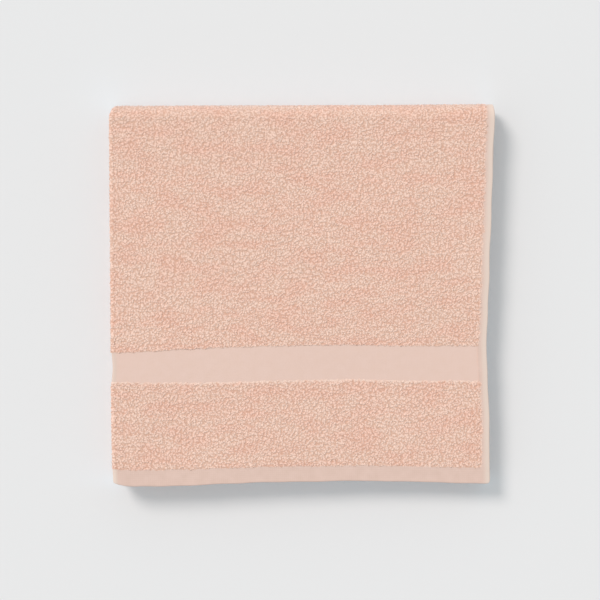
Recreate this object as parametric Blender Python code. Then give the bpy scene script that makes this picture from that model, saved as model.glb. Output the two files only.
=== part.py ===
# A terry bath towel, folded in half across its width and then twice along its length, so that it lies
# as a square stack of eight plies. X runs across the stack, from the fold on the left to the side hems
# on the right. Y runs back from the end hems at the front to the last fold at the back, and Z is up.
#
# The stack is four layers of two plies each. The two plies of a layer are one cloth, doubled round the
# left-hand fold. From the top the layers are the first, fourth, third and second quarter of the towel's
# length: the first and second quarters join round the outside of the back fold, the fourth and third
# round its inside, and the second and third round the front fold.

import math

import bmesh
import bpy
from mathutils import Matrix, Vector

# Sizes of the towel laid flat.
TOWEL_WIDTH = 0.686
TOWEL_LENGTH = 1.360
END_HEM_WIDTH = 0.0135
END_STRIP_LENGTH = 0.0785
BORDER_WIDTH = 0.0297
SIDE_HEM_WIDTH = 0.0072

# Thickness of each kind of cloth.
TERRY_THICKNESS = 0.0032
BORDER_THICKNESS = 0.0012
HEM_THICKNESS = 0.0018
THREAD_THICKNESS = 0.0004
THREAD_WIDTH = 0.0005

# How the pieces lie against each other.
PLY_GAP = 0.0004
JOIN_GAP = 0.0003
THREAD_GAP = 0.0003
SEAM_INSET = 0.0015
FRONT_SETBACK = 0.0020
UNFOLD_AXIS_SETBACK = 0.0004

# Number of flat faces round each half turn of cloth.
PLY_TURN_FACES = 8
LAYER_TURN_FACES = 12

# The stack, worked out from the sizes above. A ply takes the room of its terry, or of its sewn hem if
# that is thicker.
SEWN_THICKNESS = HEM_THICKNESS + 2 * (THREAD_GAP + THREAD_THICKNESS)
PLY_PITCH = max(TERRY_THICKNESS, SEWN_THICKNESS) + PLY_GAP
LAYER_PITCH = 2 * PLY_PITCH
STACK_HEIGHT = 4 * LAYER_PITCH - PLY_GAP
MID_HEIGHT = STACK_HEIGHT / 2

PLY_TURN_RADIUS = PLY_PITCH / 2
PLY_TURN_REACH = PLY_TURN_RADIUS + TERRY_THICKNESS / 2
SINGLE_WIDTH = TOWEL_WIDTH / 2 - PLY_TURN_RADIUS * math.pi / 2
STACK_WIDTH = SINGLE_WIDTH + PLY_TURN_REACH

FRONT_TURN_REACH = LAYER_PITCH - PLY_GAP / 2
MEAN_TURN_RADII = (1.5 * LAYER_PITCH, 0.5 * LAYER_PITCH, 0.5 * LAYER_PITCH)
FRONT_TURN_SETBACK = FRONT_SETBACK + FRONT_TURN_REACH
SINGLE_LENGTH = (TOWEL_LENGTH - math.pi * sum(MEAN_TURN_RADII) + 2 * FRONT_TURN_SETBACK) / 4
STACK_DEPTH = SINGLE_LENGTH + JOIN_GAP / 2 + MID_HEIGHT

RIGHT = STACK_WIDTH / 2
PLY_TURN_X = PLY_TURN_REACH - STACK_WIDTH / 2
FRONT = -STACK_DEPTH / 2
BACK_TURN_Y = STACK_DEPTH / 2 - JOIN_GAP / 2 - MID_HEIGHT
UNFOLD_AXIS_Y = BACK_TURN_Y + UNFOLD_AXIS_SETBACK
FRONT_TURN_Y = FRONT + FRONT_TURN_SETBACK
FRONT_TURN_Z = LAYER_PITCH - PLY_GAP / 2
TERRY_RIGHT = RIGHT - SIDE_HEM_WIDTH - JOIN_GAP

# Where each kind of cloth begins and ends, going back from the front edge of an end of the towel.
HEM_END = FRONT + END_HEM_WIDTH
STRIP_START = HEM_END + JOIN_GAP
STRIP_END = STRIP_START + END_STRIP_LENGTH
BORDER_START = STRIP_END + JOIN_GAP
BORDER_END = BORDER_START + BORDER_WIDTH
FIELD_START = BORDER_END + JOIN_GAP
FIELD_END = BACK_TURN_Y - JOIN_GAP / 2

# Heights of the middle of each layer, from the bottom of the stack.
LAYERS = {
    "second_quarter": PLY_PITCH - PLY_GAP / 2,
    "third_quarter": PLY_PITCH - PLY_GAP / 2 + LAYER_PITCH,
    "fourth_quarter": PLY_PITCH - PLY_GAP / 2 + 2 * LAYER_PITCH,
    "first_quarter": PLY_PITCH - PLY_GAP / 2 + 3 * LAYER_PITCH,
}


def clear_scene():
    for item in list(bpy.data.objects):
        bpy.data.objects.remove(item)


def material(name, colour, roughness):
    made = bpy.data.materials.new(name)
    made.use_nodes = True
    shader = made.node_tree.nodes["Principled BSDF"]
    shader.inputs["Base Color"].default_value = (*colour, 1.0)
    shader.inputs["Roughness"].default_value = roughness
    shader.inputs["Metallic"].default_value = 0.0
    return made


def doubled_outline(right, middle, thickness, offset=0.0, faces=PLY_TURN_FACES):
    """X and Z of the outline of cloth doubled round the left-hand fold, its open side at right.
    offset moves it outwards from the middle of the plies, for thread lying on their faces."""
    radius = PLY_TURN_RADIUS + offset
    outline = []
    down, up = range(faces + 1), range(faces, -1, -1)
    for reach, turns in ((radius + thickness / 2, down), (radius - thickness / 2, up)):
        arc = []
        for step in turns:
            angle = math.pi / 2 + math.pi * step / faces
            arc.append((PLY_TURN_X + reach * math.cos(angle), middle + reach * math.sin(angle)))
        ends = [(right, middle + reach), (right, middle - reach)]
        if step == 0:
            ends.reverse()
        outline += [ends[0], *arc, ends[1]]
    return outline


def strip_outline(left, right, middle, thickness):
    """X and Z of the outline of one flat strip of cloth or thread."""
    low, high = middle - thickness / 2, middle + thickness / 2
    return [(left, low), (right, low), (right, high), (left, high)]


def add_pivot():
    """The line the upper half turns on as it is opened out to the back."""
    made = bpy.data.objects.new("upper_half_pivot", None)
    made.location = (0.0, UNFOLD_AXIS_Y, MID_HEIGHT)
    bpy.context.scene.collection.objects.link(made)
    return made


def hang_on(pivot, pieces):
    for piece in pieces:
        piece.parent = pivot
        piece.matrix_parent_inverse = Matrix.Translation(-pivot.location)


def add_object(name, shape, cloth):
    bmesh.ops.recalc_face_normals(shape, faces=shape.faces)
    mesh = bpy.data.meshes.new(name)
    shape.to_mesh(mesh)
    shape.free()
    mesh.materials.append(cloth)
    made = bpy.data.objects.new(name, mesh)
    bpy.context.scene.collection.objects.link(made)
    return made


def closed_loop(shape, outline, y):
    corners = [shape.verts.new((x, y, z)) for x, z in outline]
    edges = [shape.edges.new((a, b)) for a, b in zip(corners, corners[1:] + corners[:1])]
    return corners, edges


def straight_piece(name, outline, front, back, cloth):
    """The outline drawn out along Y, from front to back."""
    shape = bmesh.new()
    corners, edges = closed_loop(shape, outline, front)
    made = bmesh.ops.extrude_edge_only(shape, edges=edges)["geom"]
    moved = [item for item in made if isinstance(item, bmesh.types.BMVert)]
    bmesh.ops.translate(shape, verts=moved, vec=(0.0, back - front, 0.0))
    shape.faces.new(corners)
    shape.faces.new(sorted_like(corners, moved))
    return add_object(name, shape, cloth)


def sorted_like(corners, moved):
    """The moved corners in the order of the first ones, matched by X and Z."""
    at = {(round(v.co.x, 7), round(v.co.z, 7)): v for v in moved}
    return [at[(round(v.co.x, 7), round(v.co.z, 7))] for v in corners]


def turned_piece(name, outline, axis_y, axis_z, towards_back, cloth):
    """The outline, standing above the axis, swept half a turn down round it."""
    shape = bmesh.new()
    y = axis_y + (JOIN_GAP / 2 if towards_back else -JOIN_GAP / 2)
    corners, edges = closed_loop(shape, outline, y)
    angle = -math.pi if towards_back else math.pi
    centre = Vector((0.0, y, axis_z))
    swept = bmesh.ops.spin(
        shape, geom=corners + edges, cent=centre, axis=(1.0, 0.0, 0.0), angle=angle, steps=LAYER_TURN_FACES
    )
    last = {v for v in swept["geom_last"] if isinstance(v, bmesh.types.BMVert)}
    half_turn = Matrix.Rotation(math.pi, 4, "X")
    ends = []
    for corner in corners:
        place = centre + half_turn @ (corner.co - centre)
        ends.append(min(last, key=lambda v: (v.co - place).length))
    shape.faces.new(corners)
    shape.faces.new(ends)
    return add_object(name, shape, cloth)


def ply_heights(middle):
    """The middle height of a layer's upper ply and of its lower ply."""
    return {"upper": middle + PLY_TURN_RADIUS, "lower": middle - PLY_TURN_RADIUS}


def add_end_of_towel(quarter, cloths):
    """One end of the towel: its hem, a strip of terry, the woven border and the terry field."""
    middle = LAYERS[quarter]
    terry = doubled_outline(TERRY_RIGHT, middle, TERRY_THICKNESS)
    border = doubled_outline(TERRY_RIGHT, middle, BORDER_THICKNESS)
    hem = doubled_outline(RIGHT, middle, HEM_THICKNESS)
    pieces = [
        straight_piece(f"{quarter}_end_hem", hem, FRONT, HEM_END, cloths["hem"]),
        straight_piece(f"{quarter}_end_strip", terry, STRIP_START, STRIP_END, cloths["terry"]),
        straight_piece(f"{quarter}_border", border, BORDER_START, BORDER_END, cloths["border"]),
        straight_piece(f"{quarter}_terry_field", terry, FIELD_START, FIELD_END, cloths["terry"]),
    ]
    rise = HEM_THICKNESS / 2 + THREAD_GAP + THREAD_THICKNESS / 2
    thread = doubled_outline(RIGHT - SEAM_INSET, middle, THREAD_THICKNESS, offset=rise)
    seam = HEM_END - SEAM_INSET
    name = f"{quarter}_end_seam_thread"
    pieces.append(straight_piece(name, thread, seam - THREAD_WIDTH, seam, cloths["thread"]))
    return pieces + add_side_hems(quarter, STRIP_START, FIELD_END, cloths)


def add_side_hems(quarter, front, back, cloths):
    """The turned and sewn side edge of each ply of a layer, with its line of thread."""
    middle = LAYERS[quarter]
    rise = HEM_THICKNESS / 2 + THREAD_GAP + THREAD_THICKNESS / 2
    seam = RIGHT - SIDE_HEM_WIDTH + SEAM_INSET
    pieces = []
    for ply, height in ply_heights(middle).items():
        hem = strip_outline(RIGHT - SIDE_HEM_WIDTH, RIGHT, height, HEM_THICKNESS)
        pieces.append(straight_piece(f"{quarter}_{ply}_side_hem", hem, front, back, cloths["hem"]))
        line = middle + PLY_TURN_RADIUS + rise if ply == "upper" else middle - PLY_TURN_RADIUS - rise
        thread = strip_outline(seam, seam + THREAD_WIDTH, line, THREAD_THICKNESS)
        name = f"{quarter}_{ply}_side_thread"
        pieces.append(straight_piece(name, thread, front, back, cloths["thread"]))
    return pieces


def add_middle_quarter(quarter, cloths):
    """A quarter that is terry all along, between the front fold and the back fold."""
    outline = doubled_outline(TERRY_RIGHT, LAYERS[quarter], TERRY_THICKNESS)
    front = FRONT_TURN_Y + JOIN_GAP / 2
    straight_piece(f"{quarter}_terry_field", outline, front, FIELD_END, cloths["terry"])
    add_side_hems(quarter, front, FIELD_END, cloths)


def add_fold(name, quarter, axis_y, axis_z, towards_back, cloths):
    """Both plies of a layer going round a fold, and the side hem of each."""
    middle = LAYERS[quarter]
    terry = doubled_outline(TERRY_RIGHT, middle, TERRY_THICKNESS)
    turned_piece(name, terry, axis_y, axis_z, towards_back, cloths["terry"])
    for ply, height in ply_heights(middle).items():
        hem = strip_outline(RIGHT - SIDE_HEM_WIDTH, RIGHT, height, HEM_THICKNESS)
        side = "outer" if ply == "upper" else "inner"
        turned_piece(f"{name}_{side}_side_hem", hem, axis_y, axis_z, towards_back, cloths["hem"])


def main():
    clear_scene()
    cloths = {
        "terry": material("terry", (0.80, 0.54, 0.43), 0.95),
        "border": material("border", (0.79, 0.60, 0.51), 0.75),
        "hem": material("hem", (0.78, 0.59, 0.50), 0.80),
        "thread": material("thread", (0.80, 0.62, 0.54), 0.60),
    }
    upper_half = add_end_of_towel("first_quarter", cloths) + add_end_of_towel("fourth_quarter", cloths)
    hang_on(add_pivot(), upper_half)
    add_middle_quarter("third_quarter", cloths)
    add_middle_quarter("second_quarter", cloths)
    add_fold("front_fold", "third_quarter", FRONT_TURN_Y, FRONT_TURN_Z, False, cloths)
    add_fold("back_fold_outer_layer", "first_quarter", BACK_TURN_Y, MID_HEIGHT, True, cloths)
    add_fold("back_fold_inner_layer", "fourth_quarter", BACK_TURN_Y, MID_HEIGHT, True, cloths)


main()
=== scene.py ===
import math

import bpy
import numpy as np
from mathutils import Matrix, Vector


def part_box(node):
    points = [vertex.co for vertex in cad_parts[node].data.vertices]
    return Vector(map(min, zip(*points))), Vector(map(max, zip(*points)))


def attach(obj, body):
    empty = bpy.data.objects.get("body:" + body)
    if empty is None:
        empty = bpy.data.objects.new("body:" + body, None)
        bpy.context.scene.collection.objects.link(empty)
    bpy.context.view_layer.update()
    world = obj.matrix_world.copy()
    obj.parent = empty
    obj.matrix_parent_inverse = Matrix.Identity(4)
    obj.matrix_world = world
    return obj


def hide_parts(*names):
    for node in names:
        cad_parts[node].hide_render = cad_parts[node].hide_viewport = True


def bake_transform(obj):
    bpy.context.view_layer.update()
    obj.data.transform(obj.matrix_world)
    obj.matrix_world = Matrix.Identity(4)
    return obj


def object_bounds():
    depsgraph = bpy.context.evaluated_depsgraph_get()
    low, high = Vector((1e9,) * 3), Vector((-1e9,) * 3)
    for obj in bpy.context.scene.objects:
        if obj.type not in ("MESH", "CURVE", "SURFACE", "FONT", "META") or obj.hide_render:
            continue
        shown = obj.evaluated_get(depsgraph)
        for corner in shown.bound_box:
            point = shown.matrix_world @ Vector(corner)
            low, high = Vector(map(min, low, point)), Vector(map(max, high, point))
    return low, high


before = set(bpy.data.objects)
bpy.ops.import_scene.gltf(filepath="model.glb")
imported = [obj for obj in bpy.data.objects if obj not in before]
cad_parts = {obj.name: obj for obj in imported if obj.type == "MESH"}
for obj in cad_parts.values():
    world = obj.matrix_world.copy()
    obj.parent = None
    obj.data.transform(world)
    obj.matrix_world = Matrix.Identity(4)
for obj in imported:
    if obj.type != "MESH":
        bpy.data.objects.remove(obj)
cadLow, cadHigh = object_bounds()
print("frame loaded:", len(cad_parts), "CAD pieces")


# The camera looks straight down on the folded towel.
cameraSettings = {
    "place": (0.0005, -0.0052, 1.378),
    "lens": 90.0,
    "sensor": 36.0,
    "nearest": 0.01,
}


def makeCamera(settings):
    data = bpy.data.cameras.new("overheadCamera")
    data.lens = settings["lens"]
    data.sensor_width = settings["sensor"]
    data.clip_start = settings["nearest"]
    camera = bpy.data.objects.new("overheadCamera", data)
    camera.location = settings["place"]
    bpy.context.scene.collection.objects.link(camera)
    bpy.context.scene.camera = camera


makeCamera(cameraSettings)
print("camera made")


# Places taken from the CAD.
fieldLow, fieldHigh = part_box("first_quarter_terry_field")
hemLow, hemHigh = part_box("first_quarter_upper_side_hem")
endHemLow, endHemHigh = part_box("first_quarter_end_hem")
stripLow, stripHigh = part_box("first_quarter_end_strip")
borderLow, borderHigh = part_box("first_quarter_border")
frontFoldLow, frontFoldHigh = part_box("front_fold")
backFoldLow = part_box("back_fold_outer_layer")[0]

thickness = {"terry": 0.0032, "border": 0.0012, "hem": 0.0018}
plyRadius = (fieldHigh.z - fieldLow.z - thickness["terry"]) / 2  # of the turn at the left
leftEdge = fieldLow.x
rightEdge = hemHigh.x
terryRight = fieldHigh.x
plyTurnX = leftEdge + plyRadius + thickness["terry"] / 2
straight = rightEdge - plyTurnX  # one ply, from its right edge to the turn
turnLength = math.pi * plyRadius
aroundWidth = 2 * straight + turnLength  # both plies and the turn
terryInset = rightEdge - terryRight
hemWidth = rightEdge - hemLow.x
halfHeight = (cadLow.z + cadHigh.z) / 2
hingeGap = 0.00013
backAxisY = backFoldLow.y + hingeGap  # the flat cloth ends just short of the hinge
frontAxisY = frontFoldHigh.y
frontAxisZ = (frontFoldLow.z + frontFoldHigh.z) / 2
join = 0.0003  # the gap that the CAD leaves between its pieces

quarters = ("first_quarter", "fourth_quarter", "third_quarter", "second_quarter")
layerMiddle = {}
for quarter in quarters:
    low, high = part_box(quarter + "_terry_field")
    layerMiddle[quarter] = (low.z + high.z) / 2


# Smooth random fields, for everything on the cloth that is uneven.
noiseSettings = {
    "table": 192,  # after this many bumps the noise repeats
    "strength": 1.5,
    "sharpness": 2.6,  # how thin the creases are
}
gradientTables = {}


def gradientTable(seed):
    if seed not in gradientTables:
        size = noiseSettings["table"]
        angle = np.random.default_rng(seed).random((size, size)) * 2 * math.pi
        gradientTables[seed] = (np.cos(angle), np.sin(angle))
    return gradientTables[seed]


# Smooth noise of about -1 to 1, one bump for each unit of u and v. The odd numbers that are added to
# a place here and there only pick another part of the noise.
def noiseAt(u, v, seed):
    across, along = gradientTable(seed)
    size = noiseSettings["table"]
    cellU, cellV = np.floor(u).astype(int), np.floor(v).astype(int)
    partU, partV = u - cellU, v - cellV
    easeU = partU**3 * (partU * (partU * 6 - 15) + 10)
    easeV = partV**3 * (partV * (partV * 6 - 15) + 10)

    def corner(stepU, stepV):
        spot = ((cellU + stepU) % size, (cellV + stepV) % size)
        return across[spot] * (partU - stepU) + along[spot] * (partV - stepV)

    front = corner(0, 0) * (1 - easeU) + corner(1, 0) * easeU
    back = corner(0, 1) * (1 - easeU) + corner(1, 1) * easeU
    return (front * (1 - easeV) + back * easeV) * noiseSettings["strength"]


# Thin curling creases where the noise passes through nothing, like the gaps between loops of yarn.
def creasesAt(u, v, seed):
    return np.clip(1 - np.abs(noiseAt(u, v, seed)) * noiseSettings["sharpness"], 0, 1)


# How the whole folded towel has settled. Each list holds places along an edge, and how far the cloth
# has moved there.
settling = {
    "rightEdge": [
        (-0.172, 0.0002), (-0.110, 0.0000), (-0.057, -0.0032), (0.030, -0.0002), (0.172, 0.0046),
    ],
    "leftEdge": [
        (-0.172, 0.0034), (-0.150, 0.0022), (-0.085, 0.0012), (-0.064, 0.0026), (-0.045, 0.0010),
        (0.172, -0.0006),
    ],
    "edgePower": 1.5,  # how fast the moves of the side edges die away across the towel
    "frontEdge": [
        (-0.172, 0.0006), (-0.155, -0.0012), (-0.110, -0.0004), (-0.045, 0.0024), (0.000, 0.0034),
        (0.050, 0.0040), (0.090, 0.0034), (0.126, 0.0021), (0.172, 0.0010),
    ],
    "frontReach": 0.12,
    "backEdge": [(-0.172, -0.0010), (-0.050, -0.0006), (0.060, -0.0002), (0.172, 0.0006)],
    "border": [
        (-0.172, -0.0014), (-0.130, -0.0008), (-0.090, 0.0006), (0.000, 0.0032), (0.045, 0.0040),
        (0.090, 0.0028), (0.172, 0.0025),
    ],
    "borderPinch": [  # how much narrower the border lies by the fold
        (-0.172, -0.0028), (-0.155, -0.0026), (-0.135, -0.0017), (-0.090, -0.0004), (-0.060, 0.0),
        (0.172, 0.0),
    ],
    "borderReach": 0.080,
    "borderFade": 3,
    "frontHeight": [(-0.172, 0.050), (-0.050, 0.000), (0.060, -0.100), (0.172, -0.160)],
    "frontHeightPower": 1.5,
    "sink": 0.050,
    "sinkWave": 0.075,
    "sinkSeed": 11,
    "sinkEdge": 0.02,  # by the side edges the cloth sinks less
    "sinkEdgeHolds": 0.4,
    "cornerPull": 0.0042,
    "cornerReach": 0.014,
    "rightCornerShare": 0.2,
    "frontCorner": 0.0024,  # how far the front corner by the fold is rounded
    "frontCornerReach": 0.0060,
    "levelReach": 0.060,  # how far from the hinge the stack keeps its full height
}


smoothing = {"steps": 400, "width": 25}


# The amount at each place, from a list of stops with its corners smoothed off.
def smoothSteps(value, stops):
    places, amounts = zip(*stops)
    fine = np.linspace(places[0], places[-1], smoothing["steps"])
    rough = np.interp(fine, places, amounts)
    width = smoothing["width"]
    window = np.hanning(width)
    padded = np.pad(rough, width // 2, mode="edge")
    smooth = np.convolve(padded, window / window.sum(), mode="valid")
    return np.interp(value, fine, smooth)


def settle(x, y, z):
    share = np.clip((x - leftEdge) / (rightEdge - leftEdge), 0, 1)
    newX = x + smoothSteps(y, settling["rightEdge"]) * share ** settling["edgePower"]
    newX = newX + smoothSteps(y, settling["leftEdge"]) * (1 - share) ** settling["edgePower"]

    forward = np.clip(1 - (y - cadLow.y) / settling["frontReach"], 0, 1) ** 2
    backward = np.clip((y - backAxisY) / (cadHigh.y - backAxisY), 0, 1)  # only past the hinge
    fromBorder = y - (borderLow.y + borderHigh.y) / 2
    nearBorder = np.exp(-((fromBorder / settling["borderReach"]) ** 2) * settling["borderFade"])
    newY = y + smoothSteps(x, settling["frontEdge"]) * forward
    newY = newY + smoothSteps(x, settling["backEdge"]) * backward
    newY = newY + smoothSteps(x, settling["border"]) * nearBorder
    pinch = smoothSteps(x, settling["borderPinch"]) * 2 / (borderHigh.y - borderLow.y)
    newY = newY + pinch * fromBorder * nearBorder

    # the corners are drawn in
    fromCorner = np.clip(x - leftEdge, 0, None) + np.clip(y - cadLow.y, 0, None)
    newY = newY + settling["frontCorner"] * np.exp(-fromCorner / settling["frontCornerReach"])
    reach = settling["cornerReach"]
    back = np.clip((y - cadHigh.y + reach) / reach, 0, 1) ** 2
    nearLeft = np.exp(-np.clip(x - leftEdge, 0, None) / reach)
    nearRight = np.exp(-np.clip(rightEdge - x, 0, None) / reach)
    newX = newX + settling["cornerPull"] * back * (nearLeft - settling["rightCornerShare"] * nearRight)

    # the stack sinks here and there, and its front slopes down to the right
    sinkWave = settling["sinkWave"]
    wave = noiseAt(x / sinkWave + 7.3, y / sinkWave + 2.1, settling["sinkSeed"])
    edgeReach = settling["sinkEdge"]
    edge = np.minimum(np.exp(-(x - leftEdge) / edgeReach) + np.exp(-(rightEdge - x) / edgeReach), 1)
    sunk = settling["sink"] * np.clip(0.5 + 0.5 * wave, 0, 1) * (1 - settling["sinkEdgeHolds"] * edge)
    fromFront = np.clip((y - cadLow.y) / (cadHigh.y - cadLow.y), 0, 1)
    raised = smoothSteps(x, settling["frontHeight"]) * (1 - fromFront) ** settling["frontHeightPower"]
    level = np.clip((backAxisY - y) / settling["levelReach"], 0, 1)
    level = level**2 * (3 - 2 * level)
    newZ = z * (1 + (raised - sunk) * level)
    return newX, newY, newZ


# One sheet of cloth, doubled round the turn at the left.
plyWaves = {
    "lift": 0.00032,  # how far a free edge waves up and down
    "slip": 0.0007,  # and in and out
    "reach": 0.018,
    "sideWave": 0.045,
    "frontWave": 0.04,
    "slipWave": 0.03,
    "corner": 0.0012,  # how far a corner is drawn in
    "cornerReach": 0.0018,
    "lowerPly": 9.5,  # keeps the lower ply's waves apart from the upper one's
    "firstSeed": 40,
}


# around is the distance round the doubled cloth, from the right edge of the upper ply to the right edge
# of the lower one. along is the distance along its length, and off the height over the middle of the ply.
def clothPoint(around, along, off, run):
    middle = layerMiddle[run["quarter"]]
    radius = plyRadius + off
    angle = math.pi / 2 + np.clip((around - straight) / plyRadius, 0, math.pi)
    upper = around < straight
    lower = around > straight + turnLength
    x = plyTurnX + radius * np.cos(angle)
    rise = radius * np.sin(angle)
    x = np.where(upper, rightEdge - around, x)
    x = np.where(lower, plyTurnX + around - straight - turnLength, x)

    # the free edges wave a little
    seed = plyWaves["firstSeed"] + quarters.index(run["quarter"]) * 4
    lift, slip, slipWave = plyWaves["lift"], plyWaves["slip"], plyWaves["slipWave"]
    fromEdge = np.minimum(around, aroundWidth - around)
    ply = np.where(around < aroundWidth / 2, 0.0, plyWaves["lowerPly"])
    fade = np.exp(-fromEdge / plyWaves["reach"])
    waves = noiseAt(along / plyWaves["sideWave"] + ply, ply * 0 + 0.5, seed)
    rise = rise + lift * waves * fade
    x = x + slip * noiseAt(along / slipWave + ply, ply * 0 + 0.37, seed + 1) * fade
    if run["kind"] == "flat":
        y = along + 0 * x
        z = middle + rise
        if run.get("freeFront"):
            fromFront = along - cadLow.y
            frontFade = np.exp(-fromFront / plyWaves["reach"])
            z = z + lift * frontFade * noiseAt(x / plyWaves["frontWave"] + ply, ply * 0 + 0.6, seed + 2)
            atCorner = plyWaves["corner"] * np.exp(-(fromEdge + fromFront) / plyWaves["cornerReach"])
            x = x - atCorner
            y = y + atCorner
            y = y + slip * frontFade * noiseAt(x / slipWave + ply, ply * 0 + 0.2, seed + 3)
    else:
        turned = (along - run["start"]) / run["length"] * math.pi
        reach = middle + rise - run["axisZ"]
        y = run["axisY"] + run["side"] * reach * np.sin(turned)
        z = run["axisZ"] + reach * np.cos(turned)
    return settle(x, y, z)


# Distances from low to high, with finer ones for the first and last few millimetres.
def spacing(low, high, step, endStep=None, endLength=0.0024):
    if endStep is None or high - low < 2.5 * endLength:
        return np.linspace(low, high, max(2, round((high - low) / (endStep or step)) + 1))
    lowEnd = np.linspace(low, low + endLength, round(endLength / endStep) + 1)
    highEnd = np.linspace(high - endLength, high, round(endLength / endStep) + 1)
    count = max(2, round((high - low - 2 * endLength) / step) + 1)
    middle = np.linspace(low + endLength, high - endLength, count)
    return np.concatenate([lowEnd[:-1], middle, highEnd[1:]])


# How much of its thickness cloth keeps at this distance from a rounded edge.
def rounded(distance, size):
    part = np.clip(distance / size, 0, 1)
    return np.sqrt(np.clip(1 - (1 - part) ** 2, 0, 1))


# How each cloth is made up from an outer face, an inner face and the rims between them.
clothBuild = {
    "proud": 0.00002,  # the two faces stand this much over the cloth's thickness
    "innerEvery": 4,  # one line of the inner face for so many of the outer one
    "leastEnd": 0.0002,  # a ragged end stays at least this far from its edge
    "endRelief": 0.35,  # how much of the relief is left at an edge
    "sharpAngle": 78,
}


# Every few lines of a fine grid, for the face of the cloth that isn't seen.
def coarseLines(count, every):
    lines = list(range(0, count - 1, every))
    if count - 1 - lines[-1] < every / 2 and len(lines) > 1:
        lines.pop()
    return np.array(lines + [count - 1])


# Closes an outer and an inner grid of points into one body, with the cloth's own coordinates on it.
def closedCloth(name, outer, inner, coarseA, coarseB, around, along):
    countA, countB = outer.shape[:2]
    points = np.concatenate([outer.reshape(-1, 3), inner.reshape(-1, 3)])
    outerCount = countA * countB
    outerIndex = np.arange(outerCount).reshape(countA, countB)
    innerIndex = outerCount + np.arange(inner.shape[0] * inner.shape[1]).reshape(inner.shape[:2])

    def quads(index, flip):
        a, b, c, d = index[:-1, :-1], index[:-1, 1:], index[1:, 1:], index[1:, :-1]
        order = (d, c, b, a) if flip else (a, b, c, d)
        return np.stack(order, -1).reshape(-1, 4)

    faces = [quads(outerIndex, False), quads(innerIndex, True)]
    sizes = [np.full(len(faces[0]), 4), np.full(len(faces[1]), 4)]
    loops = [faces[0].ravel(), faces[1].ravel()]
    rimSides = (
        (outerIndex[0], innerIndex[0], coarseB, False),
        (outerIndex[-1], innerIndex[-1], coarseB, True),
        (outerIndex[:, 0], innerIndex[:, 0], coarseA, True),
        (outerIndex[:, -1], innerIndex[:, -1], coarseA, False),
    )
    for outerRim, innerRim, coarse, flip in rimSides:
        for step in range(len(coarse) - 1):
            face = list(outerRim[coarse[step] : coarse[step + 1] + 1][::-1])
            face += [innerRim[step], innerRim[step + 1]]
            if flip:
                face.reverse()
            loops.append(np.array(face))
            sizes.append(np.array([len(face)]))
    loops = np.concatenate(loops)
    sizes = np.concatenate(sizes)

    mesh = bpy.data.meshes.new(name)
    mesh.vertices.add(len(points))
    mesh.vertices.foreach_set("co", points.astype(np.float32).ravel())
    mesh.loops.add(len(loops))
    mesh.loops.foreach_set("vertex_index", loops.astype(np.int32))
    mesh.polygons.add(len(sizes))
    mesh.polygons.foreach_set("loop_start", (np.cumsum(sizes) - sizes).astype(np.int32))
    mesh.update(calc_edges=True)
    addClothMaps(mesh, loops, outerCount, around, along, coarseA, coarseB)
    if signedVolume(mesh) < 0:
        mesh.flip_normals()
    mesh.shade_smooth()
    mesh.set_sharp_from_angle(angle=math.radians(clothBuild["sharpAngle"]))
    made = bpy.data.objects.new(name, mesh)
    bpy.context.scene.collection.objects.link(made)
    return made


# Six times the volume of a mesh. It is below zero when the faces point inwards.
def signedVolume(mesh):
    mesh.calc_loop_triangles()
    points = np.empty(len(mesh.vertices) * 3, np.float32)
    mesh.vertices.foreach_get("co", points)
    corners = np.empty(len(mesh.loop_triangles) * 3, np.int32)
    mesh.loop_triangles.foreach_get("vertices", corners)
    a, b, c = np.moveaxis(points.reshape(-1, 3)[corners.reshape(-1, 3)].astype(float), 1, 0)
    return float((a * np.cross(b, c)).sum())


mapSettings = {
    "innerShift": (0.013, 0.029),  # keeps the patterns of the inner side apart from the outer side's
    "gap": 0.02,  # round the two sides on the flat map, as a share of the longer way
}


# One map holds the cloth's own coordinates, for its patterns, and one lays the whole piece out flat.
def addClothMaps(mesh, loops, outerCount, around, along, coarseA, coarseB):
    gridA, gridB = np.meshgrid(around, along, indexing="ij")
    smallA, smallB = np.meshgrid(around[coarseA], along[coarseB], indexing="ij")
    clothA = np.concatenate([gridA.ravel(), smallA.ravel()])
    clothB = np.concatenate([gridB.ravel(), smallB.ravel()])
    cloth = np.stack([clothA, clothB], -1)
    isInner = (np.arange(len(cloth)) >= outerCount)[:, None]
    shifted = cloth + isInner * np.array(mapSettings["innerShift"])
    clothMap = mesh.uv_layers.new(name="cloth")
    clothMap.uv.foreach_set("vector", shifted[loops].astype(np.float32).ravel())

    width, length = np.ptp(around), np.ptp(along)
    gap = mapSettings["gap"] * max(width, length)
    if width < length:
        shift = np.array([width + gap, 0.0])
        whole = max(2 * width + 3 * gap, length + 2 * gap)
    else:
        shift = np.array([0.0, length + gap])
        whole = max(width + 2 * gap, 2 * length + 3 * gap)
    flat = cloth - np.array([around.min(), along.min()]) + isInner * shift + gap
    flatMap = mesh.uv_layers.new(name="OFBake")
    flatMap.uv.foreach_set("vector", (flat / whole)[loops].astype(np.float32).ravel())


def addPointValues(made, name, outerValues, innerCount):
    values = np.concatenate([outerValues.ravel(), np.zeros(innerCount)]).astype(np.float32)
    made.data.attributes.new(name, "FLOAT", "POINT").data.foreach_set("value", values)


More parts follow.
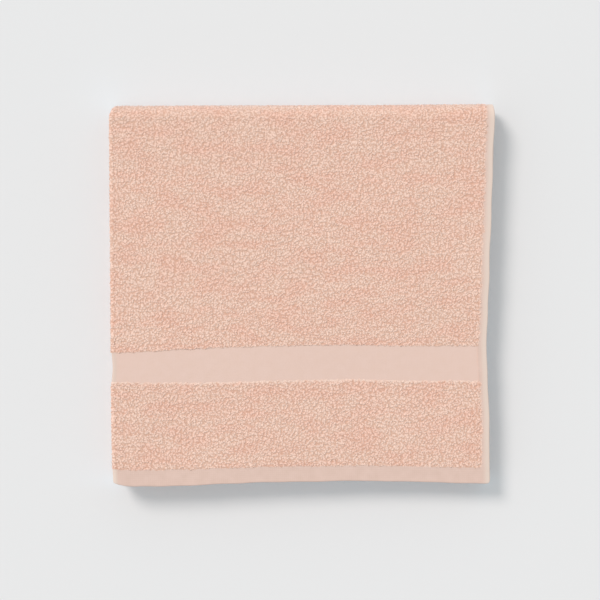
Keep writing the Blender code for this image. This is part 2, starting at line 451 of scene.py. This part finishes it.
# The looped pile.
terryPile = {
    "loop": 0.0019,  # size of one lump of loops
    "loopHeight": 0.00060,
    "turnHeight": 0.00085,  # taller lumps where the pile is bent open round a turn
    "turnReach": 0.8,  # of the turn's length
    "crown": 0.55,  # the share of that height above the middle of the pile
    "tuft": 0.0068,
    "tuftHeight": 0.00012,
    "drift": 0.020,
    "driftHeight": 0.00008,
    "settledIn": 0.00042,  # how far the middle of the pile lies under the outside of the CAD
    "lean": 0.00035,  # how far the loops lean over sideways
    "leanWave": 0.0019,
    "leanEnds": 0.002,  # and how close to the ends they stop leaning
    "ragged": 0.0011,  # how unevenly the pile ends
    "raggedWave": 0.0032,
    "raggedThin": 1.4,  # how far the thin pile follows the ragged end
    "outline": 0.0009,  # how far its outline wanders
    "sideOutline": 0.0016,  # and how far beside the hems
    "outlineWave": 0.0027,
    "outlineReach": 0.003,
    "thinning": 0.0026,  # how wide the thinner pile at its ends is
    "frontThick": 2.2,  # the front end of the pile stays thick
    "firstSeed": 100,
}


def pileHeight(around, along, seed, openness):
    loop, tuft, drift = terryPile["loop"], terryPile["tuft"], terryPile["drift"]
    crease = creasesAt(around / loop, along / loop, seed)
    crease = np.maximum(crease, creasesAt(around / loop + 31.7, along / loop + 12.9, seed + 1))
    tufts = noiseAt(around / tuft, along / tuft, seed + 2)
    drifts = noiseAt(around / drift, along / drift, seed + 3)
    loops = terryPile["loopHeight"] * (1 - openness) + terryPile["turnHeight"] * openness
    height = loops * (terryPile["crown"] - crease) + terryPile["tuftHeight"] * tufts
    return height + terryPile["driftHeight"] * drifts - terryPile["settledIn"]


# How far loops that lean, and ends that wander, move each point of the pile along the cloth.
def wanderPile(gridA, gridB, faceB, distances, ends, alongEnds, edges, seed):
    lean, leanWave, leanEnds = terryPile["lean"], terryPile["leanWave"], terryPile["leanEnds"]
    outlineWave, reach = terryPile["outlineWave"], terryPile["outlineReach"]
    leanA = lean * noiseAt(gridA / leanWave, faceB / leanWave, seed + 7)
    outerA = gridA + leanA * rounded(ends, leanEnds)
    leanB = lean * noiseAt(gridA / leanWave, faceB / leanWave, seed + 8)
    outerB = gridB + leanB * rounded(alongEnds, leanEnds)
    sideOutline = terryPile["sideOutline"] * np.exp(-ends / reach)
    outerA = outerA + sideOutline * noiseAt(faceB / outlineWave, gridA * 0 + 0.4, seed + 9)
    for distance, size in zip(distances[2:], edges[2:]):
        if size:
            outline = terryPile["outline"] * np.exp(-distance / reach)
            outerB = outerB + outline * noiseAt(gridA / outlineWave, gridA * 0 + 0.7, seed + 10)
    return outerA, outerB


# How thin the pile is, from 0 to 1 at its ends.
def thinPileAt(distances, edges, ragged):
    reach = (1.0, 1.0, terryPile["frontThick"], 1.0)
    freeEnds = [distance * far for distance, size, far in zip(distances, edges, reach) if size]
    depth = np.minimum.reduce(freeEnds) + terryPile["raggedThin"] * ragged
    return 1 - np.clip(depth / terryPile["thinning"], 0, 1)


# The smooth woven parts: the border and the hems.
weave = {
    "height": 0.00006,
    "wave": (0.012, 0.006),
    "rimLightStart": 0.0030,  # how wide the rim of painted light at a side edge is
    "rimLightLength": 0.0040,  # and how far it takes to die away
    "turnRimLightStart": 0.0002,  # the same for the turn at the left
    "turnRimLightLength": 0.0024,
}


def weaveHeight(around, along, seed, openness):
    waveA, waveB = weave["wave"]
    return weave["height"] * noiseAt(around / waveA, along / waveB, seed) * (1 - openness)


# How much painted rim light the cloth has, from 0 to 1 at its edges: a paler, greyer rim painted where
# light grazes the rounded edge, on the side hems partly their own paler colour. Light only reaches the
# turn of the top layer.
def rimLightAt(gridA, quarter):
    fromEdge = np.minimum(gridA, aroundWidth - gridA)
    rimLit = 1 - np.clip((fromEdge - weave["rimLightStart"]) / weave["rimLightLength"], 0, 1)
    if quarter == "first_quarter":
        fromTurn = np.abs(gridA - straight - turnLength / 4) - turnLength / 4
        turnRimLit = 1 - np.clip((fromTurn - weave["turnRimLightStart"]) / weave["turnRimLightLength"], 0, 1)
        rimLit = np.maximum(rimLit, turnRimLit)
    return rimLit


def pieceName(node):
    first, *rest = node.split("_")
    return first + "".join(word.capitalize() for word in rest)


# Makes the piece that stands for a CAD node, from its lines around and along the cloth. The run says how
# it lies, and edges how far each of its four edges is rounded.
def makeCloth(node, cloth, run, around, along, edges, body, every=clothBuild["innerEvery"]):
    isTerry = cloth == "terry"
    gridA, gridB = np.meshgrid(around, along, indexing="ij")
    seed = terryPile["firstSeed"] + 10 * quarters.index(run["quarter"])
    half = thickness[cloth] / 2
    proud = clothBuild["proud"]
    faceB = along[0] + (gridB - along[0]) * run.get("stretch", 1.0)  # along the cloth's outer face
    distances = (gridA - around[0], around[-1] - gridA, gridB - along[0], along[-1] - gridB)
    ends = np.minimum(distances[0], distances[1])
    alongEnds = np.minimum(distances[2], distances[3])

    # its thickness goes down to nothing at a rounded edge
    ragged = 0.0
    if isTerry:
        raggedWave = terryPile["raggedWave"]
        ragged = terryPile["ragged"] * noiseAt(gridA / raggedWave, faceB / raggedWave, seed + 6)
    keep = np.ones_like(gridA)
    for distance, size in zip(distances, edges):
        if size:
            uneven = np.clip(distance + ragged, clothBuild["leastEnd"], None)
            keep = keep * rounded(np.where(distance > 1e-6, uneven, 0.0), size)

    # round a turn the pile is bent open
    turnReach = turnLength * terryPile["turnReach"]
    openness = np.clip(1 - np.abs(gridA - aroundWidth / 2) / turnReach, 0, 1) ** 0.5
    if run["kind"] == "turn":
        bent = np.sin((gridB - run["start"]) / run["length"] * math.pi).clip(0, 1) ** 0.5
        openness = np.maximum(openness, bent)
    heightAt = pileHeight if isTerry else weaveHeight
    endRelief = clothBuild["endRelief"]
    height = heightAt(gridA, faceB, seed, openness) * (endRelief + (1 - endRelief) * keep)
    outerA, outerB = gridA, gridB
    if isTerry:
        outerA, outerB = wanderPile(gridA, gridB, faceB, distances, ends, alongEnds, edges, seed)
    outer = np.stack(clothPoint(outerA, outerB, half * keep + height * keep + proud, run), -1)

    coarseA = coarseLines(len(around), every)
    coarseB = coarseLines(len(along), every)
    innerA, innerB = np.meshgrid(around[coarseA], along[coarseB], indexing="ij")
    innerOff = -half * keep[np.ix_(coarseA, coarseB)] - proud
    inner = np.stack(clothPoint(innerA, innerB, innerOff, run), -1)
    made = closedCloth(pieceName(node), outer, inner, coarseA, coarseB, around, faceB[0])
    if isTerry:
        addPointValues(made, "thinPile", thinPileAt(distances, edges, ragged), innerA.size)
    else:
        addPointValues(made, "rimLightShare", rimLightAt(gridA, run["quarter"]), innerA.size)
    made.data.materials.append(clothMaterials[cloth])
    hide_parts(node)
    if body == "backFold":
        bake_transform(made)
    else:
        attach(made, body)
    return made


# The finishes, and the materials made from them.
terryFinish = {
    "light": (0.967, 0.692, 0.574),
    # deep is painted shade, for the gaps between the loops
    "deep": (0.710, 0.442, 0.328),
    "thin": (0.860, 0.655, 0.555),
    "pink": (1.000, 0.860, 0.830),
    "loops": (440.0, 700.0),  # how many in a metre, large ones and small ones
    "second": 0.5,  # the share of the small ones
    "gap": 0.62,  # how far from the middle of a loop the painted shade between the loops is deepest
    "crown": 0.10,  # and where the loop is lightest, free of painted shade
    "bend": 260.0,
    "bendBy": 0.0016,
    "blotch": 30.0,
    "blotchRange": (0.38, 0.68),
    "blotchMost": 0.60,
    "streak": 2.4,
    "bump": 0.00040,
    "thinBump": 0.7,  # how much flatter the thin pile looks
    "roughness": 0.95,
    "sheen": 0.55,
}
wovenFinish = {
    "bandDivisor": 6.28,  # turns the thread value into the scale of the bands
    "unevenness": 0.6,
    "slub": 120.0,  # thick and thin places in the yarn
    "slubDetail": 4.0,
    "weaveShare": 0.45,
    "bumpStrength": 0.6,
}
borderFinish = {
    "light": (0.788, 0.582, 0.503),
    "deep": (0.760, 0.550, 0.460),
    # the colour painted on the rims: painted light where light grazes the border's turned edge
    "paintedRimLight": (0.730, 0.573, 0.492),
    "roughness": 0.72,
    "sheen": 0.15,
    "thread": 1400.0,
    "bump": 0.00008,
}
hemFinish = {
    "light": (0.768, 0.566, 0.487),
    "deep": (0.670, 0.485, 0.405),
    # the colour painted on the rims: painted light where light grazes the turned edges, on the side hems
    # partly their own paler colour
    "paintedRimLight": (0.770, 0.625, 0.540),
    "roughness": 0.80,
    "sheen": 0.15,
    "thread": 1100.0,
    "bump": 0.00012,
}
threadFinish = {
    "light": (0.820, 0.640, 0.560),
    "deep": (0.700, 0.500, 0.420),
    "roughness": 0.60,
    "sheen": 0.1,
    "strand": 900.0,
}


clothShine = {"sheenRoughness": 0.5, "specular": 0.25}


def newMaterial(name, finish):
    material = bpy.data.materials.new(name)
    material.use_nodes = True
    nodes, links = material.node_tree.nodes, material.node_tree.links
    shader = nodes["Principled BSDF"]
    shader.inputs["Roughness"].default_value = finish["roughness"]
    shader.inputs["Sheen Weight"].default_value = finish["sheen"]
    shader.inputs["Sheen Roughness"].default_value = clothShine["sheenRoughness"]
    shader.inputs["Specular IOR Level"].default_value = clothShine["specular"]
    cloth = nodes.new("ShaderNodeUVMap")
    cloth.uv_map = "cloth"
    return material, nodes, links, shader, cloth


def addNode(nodes, kind, **values):
    node = nodes.new(kind)
    for name, value in values.items():
        if name in node.inputs:
            node.inputs[name].default_value = value
        else:
            setattr(node, name, value)
    return node


def colourMix(nodes, links, factor, low, high, blend="MIX"):
    mix = nodes.new("ShaderNodeMix")
    mix.data_type = "RGBA"
    mix.blend_type = blend
    for socket, value in ((mix.inputs[6], low), (mix.inputs[7], high)):
        if isinstance(value, tuple):
            socket.default_value = (*value, 1.0)
        else:
            links.new(value, socket)
    links.new(factor, mix.inputs[0])
    return mix.outputs[2]


# Lumps of loops from two sizes of cells, with painted shade in the gaps between the loops, pink patches
# over them, and paler thin pile at the ends.
def makeTerry(name, finish):
    material, nodes, links, shader, cloth = newMaterial(name, finish)

    # the cells are bent, so that no straight lines show
    bend = addNode(nodes, "ShaderNodeTexNoise", noise_dimensions="2D", Scale=finish["bend"], Detail=1.0)
    links.new(cloth.outputs[0], bend.inputs["Vector"])
    centred = addNode(nodes, "ShaderNodeVectorMath", operation="SUBTRACT")
    centred.inputs[1].default_value = (0.5, 0.5, 0.5)
    links.new(bend.outputs["Color"], centred.inputs[0])
    bent = addNode(nodes, "ShaderNodeVectorMath", operation="MULTIPLY_ADD")
    bent.inputs[1].default_value = (finish["bendBy"],) * 3
    links.new(centred.outputs[0], bent.inputs[0])
    links.new(cloth.outputs[0], bent.inputs[2])
    crests = []
    for scale in finish["loops"]:
        loops = addNode(nodes, "ShaderNodeTexVoronoi", voronoi_dimensions="2D", Scale=scale)
        links.new(bent.outputs[0], loops.inputs["Vector"])
        crest = nodes.new("ShaderNodeMapRange")
        crest.inputs["From Min"].default_value = finish["gap"]
        crest.inputs["From Max"].default_value = finish["crown"]
        crest.interpolation_type = "SMOOTHSTEP"
        links.new(loops.outputs["Distance"], crest.inputs["Value"])
        crests.append(crest)
    crest = addNode(nodes, "ShaderNodeMath", operation="MULTIPLY_ADD")
    crest.inputs[1].default_value = finish["second"]
    links.new(crests[1].outputs[0], crest.inputs[0])
    links.new(crests[0].outputs[0], crest.inputs[2])
    # painted shade: the colour goes to deep in the gaps between the loops
    loopsWithGapShade = colourMix(nodes, links, crest.outputs[0], finish["deep"], finish["light"])

    # the pink patches are longer across the towel than along it
    streaks = addNode(nodes, "ShaderNodeVectorMath", operation="MULTIPLY")
    streaks.inputs[1].default_value = (1.0, finish["streak"], 1.0)
    links.new(cloth.outputs[0], streaks.inputs[0])
    blotch = addNode(
        nodes, "ShaderNodeTexNoise",
        noise_dimensions="2D", Scale=finish["blotch"], Detail=2.0, Roughness=0.6,
    )
    links.new(streaks.outputs[0], blotch.inputs["Vector"])
    blotchRange = nodes.new("ShaderNodeMapRange")
    blotchRange.inputs["From Min"].default_value = finish["blotchRange"][0]
    blotchRange.inputs["From Max"].default_value = finish["blotchRange"][1]
    blotchRange.inputs["To Max"].default_value = finish["blotchMost"]
    links.new(blotch.outputs[0], blotchRange.inputs["Value"])
    tinted = colourMix(nodes, links, blotchRange.outputs[0], loopsWithGapShade, finish["pink"], "MULTIPLY")

    thin = nodes.new("ShaderNodeAttribute")
    thin.attribute_name = "thinPile"
    shade = colourMix(nodes, links, thin.outputs["Fac"], tinted, finish["thin"])
    links.new(shade, shader.inputs["Base Color"])
    flatter = addNode(nodes, "ShaderNodeMath", operation="MULTIPLY_ADD")
    flatter.inputs[1].default_value = -finish["thinBump"]
    flatter.inputs[2].default_value = 1.0
    links.new(thin.outputs["Fac"], flatter.inputs[0])
    bump = addNode(nodes, "ShaderNodeBump", Strength=1.0, Distance=finish["bump"])
    links.new(crest.outputs[0], bump.inputs["Height"])
    links.new(flatter.outputs[0], bump.inputs["Strength"])
    links.new(bump.outputs[0], shader.inputs["Normal"])
    return material


def threadBands(nodes, direction, finish):
    return addNode(
        nodes, "ShaderNodeTexWave",
        wave_type="BANDS", bands_direction=direction,
        Scale=finish["thread"] / wovenFinish["bandDivisor"],
        Distortion=wovenFinish["unevenness"], Detail=1.0,
    )


# Fine bands of thread both ways, with an uneven yarn, and a rim colour painted at the edges as painted
# light where light grazes the rounded edges.
def makeWoven(name, finish):
    material, nodes, links, shader, cloth = newMaterial(name, finish)
    weft = threadBands(nodes, "Y", finish)
    warp = threadBands(nodes, "X", finish)
    links.new(cloth.outputs[0], weft.inputs["Vector"])
    links.new(cloth.outputs[0], warp.inputs["Vector"])
    crossings = addNode(nodes, "ShaderNodeMath", operation="MULTIPLY")
    links.new(weft.outputs["Fac"], crossings.inputs[0])
    links.new(warp.outputs["Fac"], crossings.inputs[1])
    slub = addNode(
        nodes, "ShaderNodeTexNoise",
        noise_dimensions="2D", Scale=wovenFinish["slub"],
        Detail=wovenFinish["slubDetail"], Roughness=0.6,
    )
    links.new(cloth.outputs[0], slub.inputs["Vector"])
    both = addNode(nodes, "ShaderNodeMath", operation="MULTIPLY_ADD")
    both.inputs[1].default_value = wovenFinish["weaveShare"]
    links.new(crossings.outputs[0], both.inputs[0])
    links.new(slub.outputs[0], both.inputs[2])
    shade = colourMix(nodes, links, both.outputs[0], finish["deep"], finish["light"])
    beside = nodes.new("ShaderNodeAttribute")
    beside.attribute_name = "rimLightShare"
    # painted light: the rims turn to the painted rim colour
    shade = colourMix(nodes, links, beside.outputs["Fac"], shade, finish["paintedRimLight"])
    links.new(shade, shader.inputs["Base Color"])
    bump = addNode(
        nodes, "ShaderNodeBump", Strength=wovenFinish["bumpStrength"], Distance=finish["bump"]
    )
    links.new(both.outputs[0], bump.inputs["Height"])
    links.new(bump.outputs[0], shader.inputs["Normal"])
    return material


def makeThread(name, finish):
    material, nodes, links, shader, cloth = newMaterial(name, finish)
    strand = addNode(nodes, "ShaderNodeTexNoise", Scale=finish["strand"], Detail=2.0)
    links.new(cloth.outputs[0], strand.inputs["Vector"])
    shade = colourMix(nodes, links, strand.outputs[0], finish["deep"], finish["light"])
    links.new(shade, shader.inputs["Base Color"])
    return material


clothMaterials = {
    "terry": makeTerry("terryPile", terryFinish),
    "border": makeWoven("flatWovenBorder", borderFinish),
    "hem": makeWoven("plainHem", hemFinish),
}
threadMaterial = makeThread("sewingThread", threadFinish)
print("materials made")


# How finely each layer is made. Plies that are seen are finer than the ones inside the stack.
detail = {
    "first_quarter": {"upper": 0.0010, "lower": 0.0040, "along": 0.0010},
    "fourth_quarter": {"upper": 0.0040, "lower": 0.00125, "along": 0.00125},
    "third_quarter": {"upper": 0.00125, "lower": 0.0040, "along": 0.00125},
    "second_quarter": {"upper": 0.0050, "lower": 0.0050, "along": 0.0020},
}
fineLimit = 0.002  # a ply with smaller steps than this is a fine one
fineEnd = 0.0005  # the step at the ends of a fine ply
coarseEnd = 0.0008
turnLines = 9
pileOver = 0.0020  # the pile lies out over the inner part of the side hem
pileInset = terryInset - pileOver


# Lines round the doubled cloth: fine on the ply that is seen and round the turn.
def aroundLines(quarter, inset):
    upperStep, lowerStep = detail[quarter]["upper"], detail[quarter]["lower"]
    upperEnd = fineEnd if upperStep < fineLimit else coarseEnd
    lowerEnd = fineEnd if lowerStep < fineLimit else coarseEnd
    upper = spacing(inset, straight, upperStep, upperEnd)
    turn = np.linspace(straight, straight + turnLength, turnLines)
    lower = spacing(straight + turnLength, aroundWidth - inset, lowerStep, lowerEnd)
    return np.concatenate([upper[:-1], turn[:-1], lower])


# A run says how a piece lies: flat in its layer, or turned round a fold.
def flatRun(quarter, freeFront=False):
    return {"kind": "flat", "quarter": quarter, "freeFront": freeFront}


def turnRun(quarter, axisY, axisZ, side, start):
    radius = layerMiddle[quarter] - axisZ
    outside = radius + plyRadius + thickness["terry"] / 2
    return {
        "kind": "turn",
        "quarter": quarter,
        "axisY": axisY,
        "axisZ": axisZ,
        "side": side,
        "start": start,
        "length": math.pi * radius,
        "stretch": outside / radius,
    }


# How far in from each edge the cloth is rounded.
edgeRounding = {
    "pileSide": 0.0030,
    "pileFront": 0.0013,
    "pileBack": 0.0022,
    "endHemSide": 0.0009,
    "endHemFront": 0.0010,
    "borderSide": 0.0006,
    "sideHem": 0.0010,
}


def makePile(node, quarter, low, high, lowRound, highRound, body, freeFront=False):
    step = detail[quarter]["along"]
    run = flatRun(quarter, freeFront)
    along = spacing(low, high, step, fineEnd if step < fineLimit else None)
    edges = (edgeRounding["pileSide"], edgeRounding["pileSide"], lowRound, highRound)
    return makeCloth(node, "terry", run, aroundLines(quarter, pileInset), along, edges, body)


# The hem and the border run in under the pile beside them.
endPieces = {
    "hemUnder": 0.0012,
    "hemStep": 0.0010,
    "hemEndStep": 0.0004,
    "hemEndLength": 0.0016,
    "borderUnder": 0.0015,
    "borderStep": 0.0015,
}


# The end of the towel and the terry behind it: hem, strip, border and field.
def makeEnd(quarter, body):
    run = flatRun(quarter, True)
    lines = (endPieces["hemStep"], endPieces["hemEndStep"], endPieces["hemEndLength"])
    along = spacing(endHemLow.y, endHemHigh.y + endPieces["hemUnder"], *lines)
    rim = edgeRounding["endHemSide"]
    edges = (rim, rim, edgeRounding["endHemFront"], 0.0)
    hem = makeCloth(quarter + "_end_hem", "hem", run, aroundLines(quarter, 0.0), along, edges, body)

    front, back = edgeRounding["pileFront"], edgeRounding["pileBack"]
    node = quarter + "_end_strip"
    strip = makePile(node, quarter, stripLow.y, stripHigh.y, front, back, body, True)

    under = endPieces["borderUnder"]
    along = spacing(borderLow.y - under, borderHigh.y + under, endPieces["borderStep"])
    edges = (edgeRounding["borderSide"], edgeRounding["borderSide"], 0.0, 0.0)
    around = aroundLines(quarter, terryInset)
    border = makeCloth(quarter + "_border", "border", run, around, along, edges, body)

    field = makePile(quarter + "_terry_field", quarter, fieldLow.y, backAxisY, front, 0.0, body)
    return hem, strip, border, field


sideHem = {
    "under": 0.0012,  # how far it runs in under the pile
    "step": 0.0009,
    "endStep": 0.0003,
    "endLength": 0.0012,
    "alongStep": 0.0015,
    "innerEvery": 2,
}


def makeSideHems(prefix, low, high, run, body, names=("upper", "lower")):
    under, rim = sideHem["under"], edgeRounding["sideHem"]
    lines = (sideHem["step"], sideHem["endStep"], sideHem["endLength"])
    along = spacing(low, high, sideHem["alongStep"])
    plies = (
        (spacing(0.0, hemWidth + under, *lines), (rim, 0.0, 0.0, 0.0)),
        (spacing(aroundWidth - hemWidth - under, aroundWidth, *lines), (0.0, rim, 0.0, 0.0)),
    )
    made = []
    for name, (around, edges) in zip(names, plies):
        node = f"{prefix}_{name}_side_hem"
        made.append(makeCloth(node, "hem", run, around, along, edges, body, sideHem["innerEvery"]))
    return made


# Stitches are small rounded bodies, one after another along a line on the cloth.
stitching = {
    "length": 0.0022,
    "pitch": 0.0028,
    "width": 0.00042,
    "height": 0.00016,
    "sink": 0.00002,
    "inset": 0.00175,  # from the inner edge of the hem
    "start": 0.002,  # from the ends of the seam
    "ring": 6,
    "rows": 4,
}


# One stitch, a unit long, wide and high, with its ends closed.
def stitchShape():
    ring, rows = stitching["ring"], stitching["rows"]
    angles = np.linspace(0, 2 * math.pi, ring, endpoint=False)
    latitudes = np.linspace(-math.pi / 2, math.pi / 2, rows + 1)[1:-1]
    shape = [(-0.5, 0.0, 0.0)]
    for latitude in latitudes:
        for angle in angles:
            across = 0.5 * math.cos(latitude) * math.cos(angle)
            shape.append((0.5 * math.sin(latitude), across, math.cos(latitude) * math.sin(angle)))
    shape.append((0.5, 0.0, 0.0))
    faces = []
    for step in range(ring):
        after = (step + 1) % ring
        faces.append((0, 1 + after, 1 + step))
        for row in range(len(latitudes) - 1):
            base = 1 + row * ring
            faces.append((base + step, base + after, base + ring + after, base + ring + step))
        base = 1 + (len(latitudes) - 1) * ring
        faces.append((base + step, base + after, len(shape) - 1))
    return np.array(shape), faces


def makeStitches(node, run, line, across, body):
    shape, faces = stitchShape()
    alongStitch = shape[:, 0] * stitching["length"]
    acrossStitch = shape[:, 1] * stitching["width"]
    up = shape[:, 2] * stitching["height"] - stitching["sink"]
    lineAround = np.array([place[0] for place in line])
    lineAlong = np.array([place[1] for place in line])
    if across:
        around = lineAround[:, None] + alongStitch
        along = lineAlong[:, None] + acrossStitch
    else:
        around = lineAround[:, None] + acrossStitch
        along = lineAlong[:, None] + alongStitch
    off = thickness["hem"] / 2 + up[None, :] + 0 * around
    points = np.stack(clothPoint(around, along, off, run), -1).reshape(-1, 3)
    allFaces = []
    for stitch in range(len(line)):
        for face in faces:
            allFaces.append(tuple(corner + len(shape) * stitch for corner in face))
    mesh = bpy.data.meshes.new(pieceName(node))
    mesh.from_pydata(points.tolist(), [], allFaces)
    mesh.update()
    clothMap = mesh.uv_layers.new(name="cloth")
    loops = np.empty(len(mesh.loops), np.int32)
    mesh.loops.foreach_get("vertex_index", loops)
    cloth = np.stack([around.ravel(), along.ravel()], -1)
    clothMap.uv.foreach_set("vector", cloth[loops].astype(np.float32).ravel())
    mesh.shade_smooth()
    if signedVolume(mesh) < 0:
        mesh.flip_normals()
    made = bpy.data.objects.new(pieceName(node), mesh)
    bpy.context.scene.collection.objects.link(made)
    made.data.materials.append(threadMaterial)
    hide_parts(node)
    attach(made, body)
    return made


def makeSideSeams(quarter, low, high, run, body):
    inset = hemWidth - stitching["inset"]
    start = stitching["start"]
    places = np.arange(low + start, high - start, stitching["pitch"])
    made = []
    for name, around in (("upper", inset), ("lower", aroundWidth - inset)):
        line = [(around, y) for y in places]
        made.append(makeStitches(f"{quarter}_{name}_side_thread", run, line, False, body))
    return made


def makeEndSeam(quarter, body):
    y = endHemHigh.y - stitching["inset"]
    start = stitching["start"]
    line = [(around, y) for around in np.arange(start, aroundWidth - start, stitching["pitch"])]
    return makeStitches(quarter + "_end_seam_thread", flatRun(quarter, True), line, True, body)


# The upper half: first and fourth quarters, with both ends of the towel.
for quarter in ("first_quarter", "fourth_quarter"):
    endHem, strip, border, field = makeEnd(quarter, "upper_half")
    run = flatRun(quarter, True)
    trim = makeSideHems(quarter, stripLow.y - join, backAxisY, run, "upper_half")
    trim += makeSideSeams(quarter, stripLow.y, fieldHigh.y, run, "upper_half")
    trim.append(makeEndSeam(quarter, "upper_half"))
print("upper half made")


# The lower half: third and second quarters.
for quarter in ("third_quarter", "second_quarter"):
    low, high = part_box(quarter + "_terry_field")
    start = low.y - join
    run = flatRun(quarter)
    node = quarter + "_terry_field"
    field = makePile(node, quarter, start, backAxisY, 0.0, 0.0, "lower_half")
    trim = makeSideHems(quarter, start, backAxisY, run, "lower_half")
    trim += makeSideSeams(quarter, low.y, high.y, run, "lower_half")
print("lower half made")


foldSettings = {
    "alongStep": 0.0011,
    "innerEvery": 2,
    "outerBend": 0.0115,  # stored in the fold's run as bendReach
    "innerBend": 0.0030,
}


def makeFold(node, quarter, axisY, axisZ, side, start, body, bendReach=None):
    run = turnRun(quarter, axisY, axisZ, side, start)
    run["bendReach"] = bendReach
    outerReach = layerMiddle[quarter] + plyRadius + thickness["terry"] / 2 - axisZ
    rows = max(8, round(math.pi * outerReach / foldSettings["alongStep"]))
    along = np.linspace(start, start + run["length"], rows + 1)
    around = aroundLines(quarter, pileInset)
    edges = (edgeRounding["pileSide"], edgeRounding["pileSide"], 0.0, 0.0)
    fold = makeCloth(node, "terry", run, around, along, edges, body, foldSettings["innerEvery"])
    trim = makeSideHems(node, along[0], along[-1], run, body, ("outer", "inner"))


outerBend, innerBend = foldSettings["outerBend"], foldSettings["innerBend"]
makeFold("front_fold", "third_quarter", frontAxisY, frontAxisZ, -1, frontAxisY, "lower_half")
makeFold(
    "back_fold_outer_layer", "first_quarter", backAxisY, halfHeight, 1, backAxisY, "backFold", outerBend
)
makeFold(
    "back_fold_inner_layer", "fourth_quarter", backAxisY, halfHeight, 1, backAxisY, "backFold", innerBend
)
print("folds made")


# Floor and light.
studio = {
    "floor": (0.800, 0.800, 0.800),
    "floorNear": (0.835, 0.885, 0.920),  # painted cooler beside the towel, to cancel the warm light the towel throws on it
    "nearReach": 0.018,
    "leeReach": 0.008,
    "floorRoughness": 0.9,
    "floorSpecular": 0.1,
    "floorHeight": -0.0003,
    "floorReach": 8.0,
    "fineReach": 0.4,
    "fineLines": 161,
    "keyFrom": (-0.0207, 0.0219, 0.0285),
    "key": 1.60,
    "keyColour": (1.000, 0.915, 0.871),
    "keyAngle": 21.0,
    "fill": 0.719,
    "fillColour": (0.926, 0.975, 1.000),
    "backdrop": 0.8175,
}


def makeFloor(settings):
    far, fine = settings["floorReach"], settings["fineReach"]
    lines = np.concatenate([[-far], np.linspace(-fine, fine, settings["fineLines"]), [far]])
    gridX, gridY = np.meshgrid(lines, lines, indexing="ij")
    gridZ = np.full(gridX.size, settings["floorHeight"])
    points = np.stack([gridX.ravel(), gridY.ravel(), gridZ], -1)
    index = np.arange(gridX.size).reshape(gridX.shape)
    quads = np.stack([index[:-1, :-1], index[1:, :-1], index[1:, 1:], index[:-1, 1:]], -1)
    mesh = bpy.data.meshes.new("floor")
    mesh.from_pydata(points.tolist(), [], quads.reshape(-1, 4).tolist())
    floor = bpy.data.objects.new("floor", mesh)
    bpy.context.scene.collection.objects.link(floor)

    # the cooler colour is painted on the lit sides only, to cancel the towel's warm bounce light, and
    # dies away towards the shadow
    lit = np.hypot(np.clip(leftEdge - gridX, 0, None), np.clip(gridY - cadHigh.y, 0, None))
    lee = np.clip(gridX - rightEdge, 0, None) + np.clip(cadLow.y - gridY, 0, None)
    near = np.exp(-lit / settings["nearReach"] - lee / settings["leeReach"]).astype(np.float32)
    mesh.attributes.new("nearCloth", "FLOAT", "POINT").data.foreach_set("value", near.ravel())
    material = bpy.data.materials.new("paleFloor")
    material.use_nodes = True
    nodes, links = material.node_tree.nodes, material.node_tree.links
    shader = nodes["Principled BSDF"]
    nearCloth = nodes.new("ShaderNodeAttribute")
    nearCloth.attribute_name = "nearCloth"
    shade = colourMix(nodes, links, nearCloth.outputs["Fac"], settings["floor"], settings["floorNear"])
    links.new(shade, shader.inputs["Base Color"])
    shader.inputs["Roughness"].default_value = settings["floorRoughness"]
    shader.inputs["Specular IOR Level"].default_value = settings["floorSpecular"]
    mesh.materials.append(material)


# A soft key light from behind on the left, an even fill, and a plain pale backdrop behind it all.
def makeLight(settings):
    data = bpy.data.lights.new("keyLight", "SUN")
    data.energy = settings["key"]
    data.color = settings["keyColour"]
    data.angle = math.radians(settings["keyAngle"])
    key = bpy.data.objects.new("keyLight", data)
    key.rotation_euler = Vector(settings["keyFrom"]).to_track_quat("Z", "Y").to_euler()
    bpy.context.scene.collection.objects.link(key)
    world = bpy.data.worlds.new("softFill")
    bpy.context.scene.world = world
    world.use_nodes = True
    nodes, links = world.node_tree.nodes, world.node_tree.links
    fill = nodes["Background"]
    fill.inputs["Strength"].default_value = settings["fill"]
    fill.inputs["Color"].default_value = (*settings["fillColour"], 1.0)
    seen = nodes.new("ShaderNodeBackground")
    seen.inputs["Strength"].default_value = settings["backdrop"]
    seen.inputs["Color"].default_value = (1.0, 1.0, 1.0, 1.0)
    path = nodes.new("ShaderNodeLightPath")
    mix = nodes.new("ShaderNodeMixShader")
    links.new(path.outputs["Is Camera Ray"], mix.inputs[0])
    links.new(fill.outputs[0], mix.inputs[1])
    links.new(seen.outputs[0], mix.inputs[2])
    links.new(mix.outputs[0], nodes["World Output"].inputs["Surface"])
    bpy.context.scene.view_settings.view_transform = "Standard"


makeFloor(studio)
makeLight(studio)
print("floor and light made")
